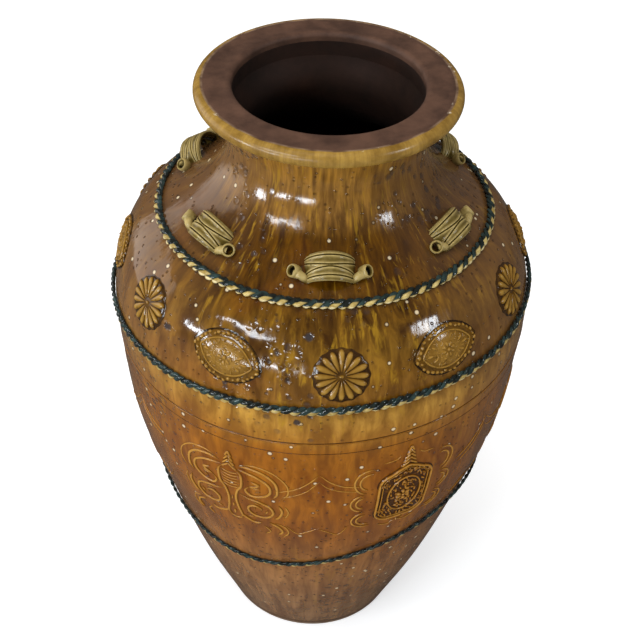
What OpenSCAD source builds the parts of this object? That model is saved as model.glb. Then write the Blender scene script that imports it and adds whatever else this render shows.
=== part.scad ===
// Large glazed storage jar with six rope lugs, three twisted clay ropes and applied sprigs.
// Millimetres, +Z up, origin at the centre of the foot, azimuth 0 faces -Y and grows to the right.

/* [Wall profile] */
// Radius of the foot
foot_r = 104; // [96:1:112]
// Height of the lower body station
calf_z = 110; // [95:1:125]
// Radius at the lower body station
calf_r = 143; // [136:1:150]
// Height of the waist station
waist_z = 220; // [205:1:235]
// Radius at the waist station
waist_r = 174; // [166:1:182]
// Height of the hip station
hip_z = 330; // [318:1:342]
// Radius at the hip station
hip_r = 201; // [194:1:206]
// Height of the belly station
belly_z = 420; // [410:1:430]
// Radius at the belly station
belly_r = 209.5; // [206:0.5:213]
// Height of the shoulder station
shoulder_z = 490; // [484:1:496]
// Radius at the shoulder station
shoulder_r = 209; // [205:0.5:212]
// Height where the shoulder breaks inwards
break_z = 550; // [546:1:554]
// Radius where the shoulder breaks inwards
break_r = 183; // [178:0.5:187]
// Height of the collar, the root of the neck
collar_z = 600; // [596:1:604]
// Radius of the collar
collar_r = 116.5; // [113:0.5:120]
// Height of the narrowest part of the neck
neck_z = 640; // [635:1:645]
// Outer radius of the narrowest part of the neck
neck_r = 94; // [92:0.5:97]
// Outer radius of the neck where the rim is luted on
neck_top_r = 98; // [96:0.5:100]
// Height of the neck above its narrowest part
neck_flare_h = 36; // [32:1:40]
// Wall thickness, square to the wall
wall_t = 9; // [7:0.5:10]

/* [Base and joints between the thrown sections] */
// Thickness of the base disc
base_t = 14; // [10:1:18]
// Depth of the hollow under the base
foot_hollow = 2.5; // [1.5:0.5:4]
// Width of the ring that the jar stands on
foot_ring_w = 20; // [14:1:26]
// Height of the joint between lower body and belly
lower_joint_z = 250; // [244:1:262]
// Height of the joint between belly and shoulder
upper_joint_z = 458; // [452:1:462]
// Height of the joint between shoulder and neck
neck_joint_z = 612; // [610:1:616]

/* [Mouth rim] */
// Height of the rim above the neck
rim_h = 24; // [22:1:28]
// Diameter of the mouth
mouth_d = 178; // [174:1:180]
// Radius of the rounded mouth edge
mouth_edge_r = 5; // [3:0.5:7]
// Diameter of the flat top of the rim
rim_flat_d = 233; // [226:1:240]
// Radius of the rounded lip around the flat
lip_r = 8; // [6.5:0.5:9]

/* [Lugs] */
// Azimuth of the first lug
lug_turn = 3; // [-10:0.5:15]
// Height of the point on the wall where a lug is centred
lug_z = 585.5; // [584.5:0.5:587]
// Length of the strap along the jar
strap_l = 45; // [41:1:47]
// Width of the strap at its ends
strap_end_w = 25; // [22:0.5:26]
// Width of the strap at its middle
strap_w = 29; // [28:0.5:31]
// Height of the arch above the wall
strap_rise = 17; // [16:0.5:19]
// Thickness of the strap under its ridges
strap_t = 4; // [3.5:0.25:4.5]
// Height of the ridges on the strap
ridge_h = 1.3; // [0.8:0.1:1.6]
// Width of an edge ridge
ridge_w = 3; // [2.5:0.1:3.4]
// Outer diameter of the rolled curl beside each strap end
curl_d = 12.5; // [11:0.5:13]
// Hole through the curl
curl_hole_d = 7; // [6:0.5:7.5]
// Length of the curl above the wall
curl_h = 9; // [8:0.5:10]
// How far the curls lean away from the strap, in degrees
curl_lean = 45; // [36:1:50]
// Distance from the strap's end to the foot of the curl
curl_reach = 6; // [5.5:0.5:8]
// Diameter of the tail that joins strap and curl
tail_d = 6; // [5:0.5:6.5]

/* [Clay ropes] */
// Height of the upper rope
upper_rope_z = 568; // [567:0.5:569]
// Height of the middle rope
middle_rope_z = 485; // [484:0.5:485.5]
// Mean height of the lower rope
lower_rope_z = 232; // [225:0.5:236]
// Thickness of one strand of the upper and middle ropes
strand_t = 4.8; // [4.4:0.1:4.9]
// How flat the ropes are pressed against the wall, as a share of their width
rope_flat = 0.5; // [0.4:0.05:0.7]
// Thickness of one strand of the lower rope, which is the thinnest
lower_strand_t = 3.8; // [3.4:0.1:4.4]
// Length of rope in one full twist
rope_pitch = 16.5; // [16:0.5:22]
// How far the hand-laid middle rope climbs from its mean height, to the right
middle_rope_climb = 10; // [8:0.5:10.5]
// How far the hand-laid lower rope rises and dips from its mean height, twice round the jar
lower_rope_wave = 34; // [0:1:36]

/* [Chrysanthemum sprigs] */
// Azimuth of the first rosette
rosette_turn = 6; // [-4:0.5:10]
// Height of the first rosette on the wall
rosette_z = 519; // [518.5:0.5:521]
// Diameter of a rosette
rosette_d = 52; // [46:1:52]
// Number of petals
petal_n = 16; // [12:1:18]
// Width of a petal at its tip
petal_w = 7.2; // [6:0.1:7.6]
// Diameter of the button in the middle
button_d = 5; // [4:0.5:7]

/* [Beaded medallions] */
// Azimuth of the first medallion
medallion_turn = -24.5; // [-26:0.5:-22]
// Height of the first medallion on the wall
medallion_z = 521; // [520.5:0.5:522]
// Length of a medallion
medallion_l = 70; // [64:1:72]
// Height of a medallion
medallion_h = 47; // [44:0.5:49]
// Diameter of a bead on its border
bead_d = 3.6; // [3:0.1:4]
// Number of beads along one side of the border
bead_n = 13; // [9:1:15]
// Width of the plain inner frame
inner_frame_w = 1.8; // [1.2:0.1:2.4]

/* [Lattice panels] */
// Height of a panel's lower edge
panel_z = 303; // [300:1:312]
// Width of a panel
panel_w = 56; // [54:1:60]
// Height of a panel without its finial
panel_h = 92; // [88:1:96]
// Corner radius of a panel
panel_corner_r = 17; // [14:0.5:18]
// Rise of the pointed top
panel_point_h = 9; // [6:0.5:11]
// Width of a panel's border
panel_border_w = 2.6; // [2:0.1:3.2]
// Height of the leafy finial above a panel
finial_h = 33; // [27:0.5:34]
// Width of the finial at its foot
finial_w = 17; // [14:0.5:20]

/* [Vase panels] */
// Height of a vase panel's lower edge
vase_z = 292; // [288:1:298]
// Height of a vase panel without its finial
vase_h = 92; // [88:1:96]
// Radius of a scroll handle
scroll_r = 17; // [15:0.5:18]
// Width of the clay thread that draws the scrolls
thread_w = 2.4; // [2:0.1:3]

/* [Hidden] */

// Azimuths of the six lugs from the first, set out by eye
lug_turns = [0, 57, 120, 182, 246, -53];
// Heights of the six rosettes over the first, set out by eye along the climbing rope
rosette_lifts = [0, 9, 7, 3, 3, 6];
// Heights of the six medallions over the first
medallion_lifts = [0, 2, 4, 1, 0, 0];
// Air left under every applied piece
seat = 0.2;
// Thickness of the thin back of a sprig
backing_t = 1.4;
// Height of the relief on a sprig above its back
relief_h = 2.2;
// Overlap that joins the layers of one sprig
weld = 0.2;
// Height step between two stations of a drawn wall
wall_step = 10;
// Points on a quarter of a drawn arc
arc_n = 6;
// Straight steps along one side of a pointed oval
oval_n = 12;
// Rings in one twist of a strand
twist_n = 4;
// How far a finial's foot is sunk into the panel below it
finial_sunk = 6;
// Azimuths of the six body panels, set out by eye
panel_turns = [26, 84, 144, 204, 266, -23.5];
// The glaze colours
amber = "#8a4f14";
honey = "#a8681c";
umber = "#4b2b1c";
straw = "#c9b468";
iron_green = "#232a20";

lip_z = neck_z + neck_flare_h;
jar_h = lip_z + rim_h;
$fn = 64;

// The wall: a smooth curve through ten stations

STATION_Z = [0, calf_z, waist_z, hip_z, belly_z, shoulder_z, break_z, collar_z, neck_z, lip_z];
STATION_R = [foot_r, calf_r, waist_r, hip_r, belly_r, shoulder_r, break_r, collar_r, neck_r,
             neck_top_r];
LAST = len(STATION_Z) - 1;

// Slope of the curve at one station
function station_slope(i) =
    let (a = max(i - 1, 0), b = min(i + 1, LAST))
    (STATION_R[b] - STATION_R[a]) / (STATION_Z[b] - STATION_Z[a]);

// The station at or below a height
function station_below(z, i = 0) =
    i >= LAST - 1 || z < STATION_Z[i + 1] ? i : station_below(z, i + 1);

function blend(t, h, ra, rb, ma, mb) =
    (2 * t * t * t - 3 * t * t + 1) * ra + (t * t * t - 2 * t * t + t) * h * ma
    + (3 * t * t - 2 * t * t * t) * rb + (t * t * t - t * t) * h * mb;

// Outer radius of the wall at a height
function wall_r(z) =
    let (i = station_below(z), h = STATION_Z[i + 1] - STATION_Z[i], t = (z - STATION_Z[i]) / h)
    blend(t, h, STATION_R[i], STATION_R[i + 1], station_slope(i), station_slope(i + 1));

function wall_slope(z) = (wall_r(z + 0.5) - wall_r(z - 0.5));

// Horizontal reach of one millimetre measured square to the wall
function wall_reach(z) = sqrt(1 + pow(wall_slope(z), 2));

// How far the wall's outward normal points up, in degrees
function wall_lean(z) = atan(-wall_slope(z));

function wall_in(z) = wall_r(z) - wall_t * wall_reach(z);

// Heights from one level to another in even steps of about wall_step
function levels(z0, z1, step = wall_step) =
    let (n = ceil((z1 - z0) / step)) [for (i = [0:n]) z0 + (z1 - z0) * i / n];

function backwards(list) = [for (i = [len(list) - 1:-1:0]) list[i]];

function arc(cx, cy, r, a0, a1, n = arc_n) =
    [for (i = [0:n]) let (a = a0 + (a1 - a0) * i / n) [cx + r * cos(a), cy + r * sin(a)]];

// One thrown section of the wall
module wall_ring(z0, z1) {
    zs = levels(z0, z1);
    outer = [for (z = zs) [wall_r(z), z]];
    inner = [for (z = backwards(zs)) [wall_in(z), z]];
    rotate_extrude($fn = 96) polygon(concat(outer, inner));
}

// Everything inside the outer face of the wall, used to seat what is laid on it
module wall_core(z0, z1) {
    zs = levels(z0, z1, 6);
    outer = [for (z = zs) [wall_r(z) + seat * wall_reach(z), z]];
    rotate_extrude($fn = 96) polygon(concat([[0, z0]], outer, [[0, z1]]));
}

// A curved skin that lies on the wall, lifted from it by lift0 to lift1
module skin(z0, z1, half_angle, lift0, lift1) {
    zs = levels(z0, z1, 8);
    outer = [for (z = zs) [wall_r(z) + lift1 * wall_reach(z), z]];
    inner = [for (z = backwards(zs)) [wall_r(z) + lift0 * wall_reach(z), z]];
    rotate([0, 0, -half_angle])
        rotate_extrude(angle = 2 * half_angle, $fn = 96) polygon(concat(outer, inner));
}

module at_azimuth(a) rotate([0, 0, a - 90]) children();

// X runs along the jar to the right, Y up the wall and Z square out of it
module on_wall(z)
    translate([wall_r(z), 0, z]) rotate([0, 90 - wall_lean(z), 0]) rotate([0, 0, 90]) children();

// A flat outline pressed onto the wall as a layer of even thickness
module laid(z, half_h, half_angle, lift0, lift1)
    intersection() {
        skin(z - half_h, z + half_h, half_angle, lift0, lift1);
        on_wall(z) translate([0, 0, -24]) linear_extrude(40) children();
    }

// Body of the jar

module base_disc() color(amber) {
    hollow_r = foot_r - foot_ring_w;
    zs = levels(0, base_t, 5);
    outer = [for (z = zs) [wall_r(z), z]];
    rotate_extrude($fn = 96)
        polygon(concat(outer, [[0, base_t], [0, foot_hollow], [hollow_r, foot_hollow],
                               [hollow_r, 0]]));
}

module lower_wall() color(amber) wall_ring(base_t, lower_joint_z);

module belly_wall() color(honey) wall_ring(lower_joint_z, upper_joint_z);

module shoulder_wall() color(honey) wall_ring(upper_joint_z, neck_joint_z);

module neck() color(amber) wall_ring(neck_joint_z, lip_z);

module mouth_rim() color(umber) {
    mouth_r = mouth_d / 2;
    bore_foot_r = neck_top_r - wall_t;
    flat_r = rim_flat_d / 2;
    edge = arc(mouth_r + mouth_edge_r, jar_h - mouth_edge_r, mouth_edge_r, 180, 90);
    lip = arc(flat_r, jar_h - lip_r, lip_r, 90, -90, 2 * arc_n);
    rotate_extrude($fn = 96)
        polygon(concat([[bore_foot_r, lip_z]], edge, lip, [[neck_top_r, lip_z]]));
}

// Lugs: an arched strap with ridges, and a rolled curl beside each of its ends

// Radius of the arch that spans strap_l and rises strap_rise
arch_r = (pow(strap_l / 2, 2) + pow(strap_rise, 2)) / (2 * strap_rise);
// Radius of the barrel-shaped outline of the strap
barrel_bulge = (strap_w - strap_end_w) / 2;
barrel_r = (pow(strap_l / 2, 2) + pow(barrel_bulge, 2)) / (2 * barrel_bulge);
// Where the curl stands, measured from the middle of the strap
curl_x = strap_l / 2 + curl_reach;
curl_y = -2;
// Reach of the wall above and below a lug that it is cut against
lug_cut = 34;

module arch_band(r0, r1, w)
    translate([0, 0, strap_rise - arch_r]) rotate([90, 0, 0]) difference() {
        cylinder(r = r1, h = w, center = true);
        cylinder(r = r0, h = w + 1, center = true);
    }

// The four long ridges and the crossed pair between them
module strap_ridges(r0, r1) {
    edge_y = strap_w / 2 - ridge_w / 2;
    inner_y = edge_y - ridge_w - 1.4;
    for (y = [-edge_y, edge_y, -inner_y, inner_y]) translate([0, y, 0]) arch_band(r0, r1, ridge_w);
    cross_a = atan((inner_y - ridge_w / 2) / (strap_l * 0.4));
    for (a = [-cross_a, cross_a]) intersection() {
        arch_band(r0, r1, 2 * inner_y);
        rotate([0, 0, a]) cube([2 * strap_l, ridge_w * 0.7, 3 * strap_l], center = true);
    }
}

module barrel_outline()
    intersection_for (s = [-1, 1])
        translate([0, s * (barrel_r - strap_w / 2), -2 * strap_l])
            cylinder(r = barrel_r, h = 4 * strap_l, $fn = 200);

module lug_strap(k) color(straw) at_azimuth(lug_turn + lug_turns[k - 1]) difference() {
    on_wall(lug_z) intersection() {
        union() {
            arch_band(arch_r - ridge_h - strap_t, arch_r - ridge_h, strap_w);
            strap_ridges(arch_r - ridge_h - weld, arch_r);
        }
        barrel_outline();
    }
    wall_core(lug_z - lug_cut, lug_z + lug_cut);
}

module curl_at(side) {
    difference() {
        union() {
            translate([side * curl_x, curl_y, 0]) rotate([0, side * curl_lean, 0])
                translate([0, 0, -curl_d / 2]) cylinder(d = curl_d, h = curl_h + curl_d / 2);
            translate([side * (strap_l / 2 - tail_d / 2), curl_y, tail_d * 0.4])
                rotate([0, side * 90, 0]) cylinder(d = tail_d, h = curl_reach + 1);
        }
        translate([side * curl_x, curl_y, 0]) rotate([0, side * curl_lean, 0])
            cylinder(d = curl_hole_d, h = 3 * curl_d, center = true);
        translate([0, 0, strap_rise - arch_r]) rotate([90, 0, 0])
            cylinder(r = arch_r + seat, h = 2 * strap_w, center = true);
    }
}

module lug_curls(k) color(straw) at_azimuth(lug_turn + lug_turns[k - 1]) difference() {
    on_wall(lug_z) for (side = [-1, 1]) curl_at(side);
    wall_core(lug_z - lug_cut, lug_z + lug_cut);
}

// Clay ropes: two strands twisted together and laid round the wall

// Air between the two strands
strand_gap = 0.1;
// Azimuth where the wave of the lower rope passes its mean height on the way up
wave_turn = 15;

// Middle line of a rope: mean height, climb to the right, wave, azimuth
function rope_z(z0, climb, wave, a) = z0 + climb * sin(a) + wave * sin(2 * (a - wave_turn));

// Corner j of ring i of a strand of thickness t
function strand_corner(t, z0, climb, wave, steps, start, i, j) =
    let (a = 360 * i / steps, z = rope_z(z0, climb, wave, a), lean = wall_lean(z),
         roll = 360 * i / twist_n + start,
         x = strand_gap / 2 + (j == 1 ? t : 0),
         y = (j - 1) * t * 0.64,
         n = (x * cos(roll) - y * sin(roll) + t + strand_gap / 2) * rope_flat + seat,
         m = x * sin(roll) + y * cos(roll),
         r = wall_r(z) + n * cos(lean) - m * sin(lean))
    [r * sin(a), -r * cos(a), z + n * sin(lean) + m * cos(lean)];

// The second strand starts half a twist later. Between the strands both surfaces are split along
// the same diagonals, which change sides at each step, so neither strand cuts into the other.
module strand(t, z0, climb, wave, second = false) {
    start = second ? 180 : 0;
    turns = round(2 * PI * (wall_r(z0) + t) / rope_pitch);
    steps = turns * twist_n;
    corners = [for (i = [0:steps - 1], j = [0:2])
        strand_corner(t, z0, climb, wave, steps, start, i, j)];
    faces = [for (i = [0:steps - 1], j = [0:2], half = [0, 1])
        let (a = 3 * i + j, b = 3 * i + (j + 1) % 3,
             c = (3 * (i + 1) + j) % (3 * steps), d = (3 * (i + 1) + (j + 1) % 3) % (3 * steps))
        j == 2 && i % 2 == (second ? 0 : 1) ? (half == 0 ? [a, c, d] : [a, d, b])
                                            : (half == 0 ? [a, c, b] : [b, c, d])];
    polyhedron(corners, faces);
}

module upper_rope_light() color(straw) strand(strand_t, upper_rope_z, 0, 0);

module upper_rope_dark() color(iron_green) strand(strand_t, upper_rope_z, 0, 0, second = true);

module middle_rope_light() color(straw)
    strand(strand_t, middle_rope_z, middle_rope_climb, 0);

module middle_rope_dark() color(iron_green)
    strand(strand_t, middle_rope_z, middle_rope_climb, 0, second = true);

module lower_rope_light() color(straw)
    strand(lower_strand_t, lower_rope_z, 0, lower_rope_wave);

module lower_rope_dark() color(iron_green)
    strand(lower_strand_t, lower_rope_z, 0, lower_rope_wave, second = true);

// Chrysanthemum sprigs

module petals_outline() {
    tip_r = rosette_d / 2 - petal_w / 2;
    for (i = [0:petal_n - 1]) rotate([0, 0, i * 360 / petal_n]) {
        translate([tip_r, 0]) circle(d = petal_w, $fn = 12);
        polygon([[button_d / 4, 0], [tip_r, -petal_w / 2], [tip_r, petal_w / 2]]);
    }
    circle(d = button_d, $fn = 12);
}

module rosette(k) color(honey) at_azimuth(rosette_turn + (k - 1) * 60) {
    z = rosette_z + rosette_lifts[k - 1];
    half_angle = rosette_d / 2 / wall_r(z) * 80;
    laid(z, rosette_d / 2, half_angle, seat, backing_t)
        circle(d = rosette_d - petal_w / 2, $fn = 48);
    laid(z, rosette_d / 2, half_angle, backing_t - weld, backing_t + relief_h)
        petals_outline();
}

// Beaded medallions: a pointed oval with a beaded border, a plain frame and a floral middle

// Radius of the two arcs that bound a pointed oval
function oval_r(l, h) = (l * l + h * h) / (4 * h);

module pointed_oval(l, h) {
    r = oval_r(l, h);
    half = asin(l / 2 / r);
    polygon(concat(arc(0, h / 2 - r, r, 90 - half, 90 + half, oval_n),
                   arc(0, r - h / 2, r, 270 - half, 270 + half, oval_n)));
}

// Pellets along both arcs of the border
module beads_outline() {
    border_l = medallion_l - 2 * bead_d;
    border_h = medallion_h - 1.4 * bead_d;
    r = oval_r(border_l, border_h);
    for (i = [1:bead_n], s = [-1, 1])
        let (x = border_l / 2 * (2 * i / (bead_n + 1) - 1))
        translate([x, s * (sqrt(r * r - x * x) - r + border_h / 2)])
            circle(d = bead_d, $fn = 6);
}

module medallion(k) color(honey) at_azimuth(medallion_turn + (k - 1) * 60) {
    z = medallion_z + medallion_lifts[k - 1];
    half_angle = medallion_l / 2 / wall_r(z) * 70;
    inner_l = medallion_l - 5 * bead_d;
    inner_h = medallion_h - 3.4 * bead_d;
    laid(z, medallion_h / 2, half_angle, seat, backing_t)
        pointed_oval(medallion_l, medallion_h);
    laid(z, medallion_h / 2, half_angle, backing_t - weld, backing_t + relief_h)
        difference() {
            pointed_oval(inner_l, inner_h);
            pointed_oval(inner_l - 3 * inner_frame_w, inner_h - 2 * inner_frame_w);
        }
    laid(z, medallion_h / 2, half_angle, backing_t - weld, backing_t + relief_h) {
        beads_outline();
        circle(d = 2 * bead_d, $fn = 12);
        for (i = [0:7]) rotate([0, 0, i * 45]) translate([2.1 * bead_d, 0])
            circle(d = bead_d * 1.2, $fn = 8);
    }
}

// Body panels

// A tall panel with round corners and a pointed top, drawn from its lower edge
function panel_points(w, h, r, point_h) =
    concat(arc(w / 2 - r, r, r, -90, 0), arc(w / 2 - r, h - point_h - r, r, 0, 70),
           [[0, h]],
           arc(r - w / 2, h - point_h - r, r, 110, 180), arc(r - w / 2, r, r, 180, 270));

module panel_outline(inset)
    translate([0, inset]) polygon(panel_points(panel_w - 2 * inset, panel_h - 2 * inset,
                                               panel_corner_r - inset, panel_point_h));

module ring_2d(r, w) difference() {
    circle(r = r, $fn = 48);
    circle(r = r - w, $fn = 48);
}

// A leafy finial: stacked chevrons that narrow to a point
module finial_outline(y, h, w) {
    leaf_n = 3;
    leaf_h = h / leaf_n;
    for (i = [0:leaf_n - 1])
        let (half = w / 2 * (1 - i / (leaf_n + 1)), foot = y + i * leaf_h * 0.86)
        polygon([[-half, foot], [0, foot + leaf_h * 0.35], [half, foot], [half * 0.35, foot + leaf_h],
                 [0, foot + leaf_h * 1.28], [-half * 0.35, foot + leaf_h]]);
}

// The middle height of a panel's outline, where its frame is set against the wall
module on_panel(low, h, w, lift0, lift1) {
    middle = low + h / 2;
    laid(middle, h / 2 + 2, w / 2 / wall_r(middle) * 66, lift0, lift1)
        translate([0, -h / 2]) children();
}

module lattice_panel(k) color(honey) at_azimuth(panel_turns[2 * (k - 1)]) {
    full_h = panel_h + finial_h;
    on_panel(panel_z, full_h, panel_w, seat, backing_t) {
        panel_outline(0);
        finial_outline(panel_h - finial_sunk, finial_h, finial_w);
    }
    on_panel(panel_z, full_h, panel_w, backing_t - weld, backing_t + relief_h * 0.7) {
        difference() {
            panel_outline(0);
            panel_outline(panel_border_w);
        }
        finial_outline(panel_h, finial_h * 0.8, finial_w * 0.6);
        middle_y = (panel_h - panel_point_h) / 2;
        translate([0, middle_y]) {
            ring_2d(panel_w * 0.27, panel_border_w * 0.8);
            ring_2d(panel_w * 0.1, panel_border_w * 0.8);
            for (i = [0:7]) rotate([0, 0, i * 45]) translate([panel_w * 0.17, 0])
                circle(d = panel_w * 0.09, $fn = 8);
        }
        for (x = [-1, 0, 1], s = [-1, 1])
            translate([x * panel_w * 0.27, middle_y + s * (panel_h * 0.33 - abs(x) * 3)])
                ring_2d(panel_w * 0.11, panel_border_w * 0.8);
    }
}

// Part of a ring between two angles, drawn as a polygon
module thread_arc(cx, cy, r, a0, a1)
    polygon(concat(arc(cx, cy, r + thread_w / 2, a0, a1, 2 * arc_n),
                   arc(cx, cy, r - thread_w / 2, a1, a0, 2 * arc_n)));

module vase_panel(k) color(honey) at_azimuth(panel_turns[2 * (k - 1) + 1]) {
    full_h = vase_h + finial_h;
    full_w = 4 * scroll_r + 2 * thread_w;
    column_w = scroll_r * 0.7;
    low_y = scroll_r + thread_w;
    high_y = low_y + 2 * scroll_r;
    on_panel(vase_z, full_h, full_w, seat, backing_t + relief_h * 0.5) {
        finial_outline(vase_h - finial_sunk, finial_h, finial_w);
        polygon([[-column_w * 0.9, 0], [column_w * 0.9, 0], [column_w * 0.45, high_y],
                 [column_w, vase_h], [-column_w, vase_h], [-column_w * 0.45, high_y]]);
        for (s = [0, 1]) mirror([s, 0]) {
            thread_arc(column_w * 0.3 + scroll_r, low_y, scroll_r, 180, 445);
            thread_arc(column_w * 0.3 + scroll_r, high_y, scroll_r, 280, 530);
        }
    }
}

base_disc();
lower_wall();
belly_wall();
shoulder_wall();
neck();
mouth_rim();
lug_strap(1);  // lug_strap_1
lug_strap(2);  // lug_strap_2
lug_strap(3);  // lug_strap_3
lug_strap(4);  // lug_strap_4
lug_strap(5);  // lug_strap_5
lug_strap(6);  // lug_strap_6
lug_curls(1);  // lug_curls_1
lug_curls(2);  // lug_curls_2
lug_curls(3);  // lug_curls_3
lug_curls(4);  // lug_curls_4
lug_curls(5);  // lug_curls_5
lug_curls(6);  // lug_curls_6
upper_rope_light();
upper_rope_dark();
middle_rope_light();
middle_rope_dark();
lower_rope_light();
lower_rope_dark();
rosette(1);  // rosette_1
rosette(2);  // rosette_2
rosette(3);  // rosette_3
rosette(4);  // rosette_4
rosette(5);  // rosette_5
rosette(6);  // rosette_6
medallion(1);  // medallion_1
medallion(2);  // medallion_2
medallion(3);  // medallion_3
medallion(4);  // medallion_4
medallion(5);  // medallion_5
medallion(6);  // medallion_6
lattice_panel(1);  // lattice_panel_1
lattice_panel(2);  // lattice_panel_2
lattice_panel(3);  // lattice_panel_3
vase_panel(1);  // vase_panel_1
vase_panel(2);  // vase_panel_2
vase_panel(3);  // vase_panel_3
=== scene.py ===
# %% [markdown]
# # A glazed storage jar with lugs, clay ropes and sprigs
# The jar was built as solids first. They are loaded here as a fixed frame, so every piece below
# is made in the same place and at the same size, in metres. The solids give the sizes, and this
# lesson gives each piece its modelled surface and its glaze.

# %% Load the frame
import math
import random
from contextlib import contextmanager
import bpy
import numpy as np
from mathutils import Matrix, Vector


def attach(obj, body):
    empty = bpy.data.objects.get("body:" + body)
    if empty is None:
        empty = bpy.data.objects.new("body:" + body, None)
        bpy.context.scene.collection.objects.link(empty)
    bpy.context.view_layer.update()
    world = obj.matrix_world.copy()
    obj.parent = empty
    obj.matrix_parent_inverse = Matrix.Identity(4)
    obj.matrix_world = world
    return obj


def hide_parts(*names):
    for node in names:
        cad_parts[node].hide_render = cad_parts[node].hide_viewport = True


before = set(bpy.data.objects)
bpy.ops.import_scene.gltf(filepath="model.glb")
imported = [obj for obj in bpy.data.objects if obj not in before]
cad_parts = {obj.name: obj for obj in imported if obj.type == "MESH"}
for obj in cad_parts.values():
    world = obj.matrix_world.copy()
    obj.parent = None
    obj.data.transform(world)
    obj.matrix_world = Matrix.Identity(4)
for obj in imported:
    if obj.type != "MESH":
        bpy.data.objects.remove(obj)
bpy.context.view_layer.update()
MM = 0.001
random.seed(7)

# %% [markdown]
# The camera stands in front of the jar and looks down into its mouth. It goes in first, so that
# every later step can be judged from the same place. The small turn about its own axis is the
# tilt of a camera held by hand.

# %% Camera
CAMERA_PLACE, CAMERA_DOWN, CAMERA_ROLL = (0, -0.965, 1.259), 41.41, 2.21
bpy.ops.object.camera_add(location=CAMERA_PLACE)
camera = bpy.context.object
camera.name = "camera"
tilt = (Matrix.Rotation(math.radians(90 - CAMERA_DOWN), 4, "X")
        @ Matrix.Rotation(math.radians(CAMERA_ROLL), 4, "Z"))
camera.matrix_world = Matrix.Translation(CAMERA_PLACE) @ tilt
camera.data.sensor_width = 36
camera.data.lens = 67.5
bpy.context.scene.camera = camera
bpy.context.scene.view_settings.view_transform = "Standard"
print("camera lens:", camera.data.lens)

# %% [markdown]
# A thrown jar is one smooth curve turned round an axis. The curve is drawn through ten stations,
# each a height and a radius in mm. The pieces that lie on the wall ask the same curve where they
# are and how far the wall leans there. Azimuth 0 faces the camera and grows to the right.

# %% The curve of the wall
STATION_Z = np.array([0, 110, 220, 330, 420, 490, 550, 600, 640, 676.0])
STATION_R = np.array([104, 143, 174, 201, 209.5, 209, 183, 116.5, 94, 98.0])
last = len(STATION_Z) - 1
STATION_SLOPE = np.array([
    (STATION_R[min(i + 1, last)] - STATION_R[max(i - 1, 0)])
    / (STATION_Z[min(i + 1, last)] - STATION_Z[max(i - 1, 0)]) for i in range(last + 1)])


def wall_r(z):
    i = np.clip(np.searchsorted(STATION_Z, z, side="right") - 1, 0, last - 1)
    h = STATION_Z[i + 1] - STATION_Z[i]
    t = (z - STATION_Z[i]) / h
    low = (2 * t**3 - 3 * t**2 + 1) * STATION_R[i] + (t**3 - 2 * t**2 + t) * h * STATION_SLOPE[i]
    return (low + (3 * t**2 - 2 * t**3) * STATION_R[i + 1]
            + (t**3 - t**2) * h * STATION_SLOPE[i + 1])


def wall_slope(z):
    return wall_r(z + 0.5) - wall_r(z - 0.5)


def wall_lean(z):
    return np.arctan(-wall_slope(z))


walk_z = np.linspace(0, 676, 2705)
walk_s = np.concatenate([[0], np.cumsum(np.hypot(np.diff(walk_z), np.diff(wall_r(walk_z))))])
print("the wall's curve:", round(walk_s[-1]), "mm; widest radius:", round(wall_r(walk_z).max(), 1))

# %% [markdown]
# Clay sprigs are shaped flat and then pressed onto the round wall. The same is done here: a
# piece is modelled flat, x along the jar, y up the wall and z out of it, and `press_on` bends it
# onto the wall. A lug keeps its own shape, so it is only stood on the wall by `stand_on`.

# %% Bringing a flat piece to the wall


def round_axis(r, a, z):
    """Places in metres, from radii and heights in mm and azimuths in radians."""
    return np.stack([r * np.sin(a), -r * np.cos(a), z], 1) * MM


def press(flat, z0, turn):
    s = np.interp(z0, walk_z, walk_s) + flat[:, 1] / MM
    z = np.interp(s, walk_s, walk_z)
    lean = wall_lean(z)
    a = math.radians(turn) + flat[:, 0] / MM / wall_r(z0)
    out = wall_r(z) + flat[:, 2] / MM * np.cos(lean)
    return round_axis(out, a, z + flat[:, 2] / MM * np.sin(lean))


def points_of(o):
    co = np.zeros(len(o.data.vertices) * 3, np.float32)
    o.data.vertices.foreach_get("co", co)
    return co.reshape(-1, 3).astype(float)


def set_points(o, co):
    o.data.vertices.foreach_set("co", co.astype(np.float32).ravel())
    o.data.update()


def press_on(o, z0, turn):
    set_points(o, press(points_of(o), z0, turn))


def stand_on(o, z0, turn):
    a, lean = math.radians(turn), float(wall_lean(z0))
    along = Vector((math.cos(a), math.sin(a), 0))
    out = Vector((math.cos(lean) * math.sin(a), -math.cos(lean) * math.cos(a), math.sin(lean)))
    place = Matrix((along, out.cross(along), out)).transposed().to_4x4()
    r = float(wall_r(z0)) * MM
    place.translation = Vector((r * math.sin(a), -r * math.cos(a), z0 * MM))
    o.data.transform(place)


print("front of the wall at 300 mm:", press(np.zeros((1, 3)), 300, 0).round(4))

# %% [markdown]
# Operators act on what is selected, so each step starts with nothing selected. The small helpers
# here pick up a new primitive, open a piece for editing, copy a finished master with its own
# mesh, join the parts of one sprig and write down how high each point stands in its relief. The
# glaze reads that value later: it runs thin and pale off the high points and gathers dark in the
# hollows.

# %% Workbench helpers


def pick(*objects):
    if bpy.context.object and bpy.context.object.mode != "OBJECT":
        bpy.ops.object.mode_set(mode="OBJECT")
    bpy.ops.object.select_all(action="DESELECT")
    for o in objects:
        o.select_set(True)
    if objects:
        bpy.context.view_layer.objects.active = objects[0]


def added(operator, **settings):
    """What an Add operator makes, with nothing else selected."""
    pick()
    operator(**settings)
    return bpy.context.object


def new_object(name, data):
    o = bpy.data.objects.new(name, data)
    bpy.context.scene.collection.objects.link(o)
    return o


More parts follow.
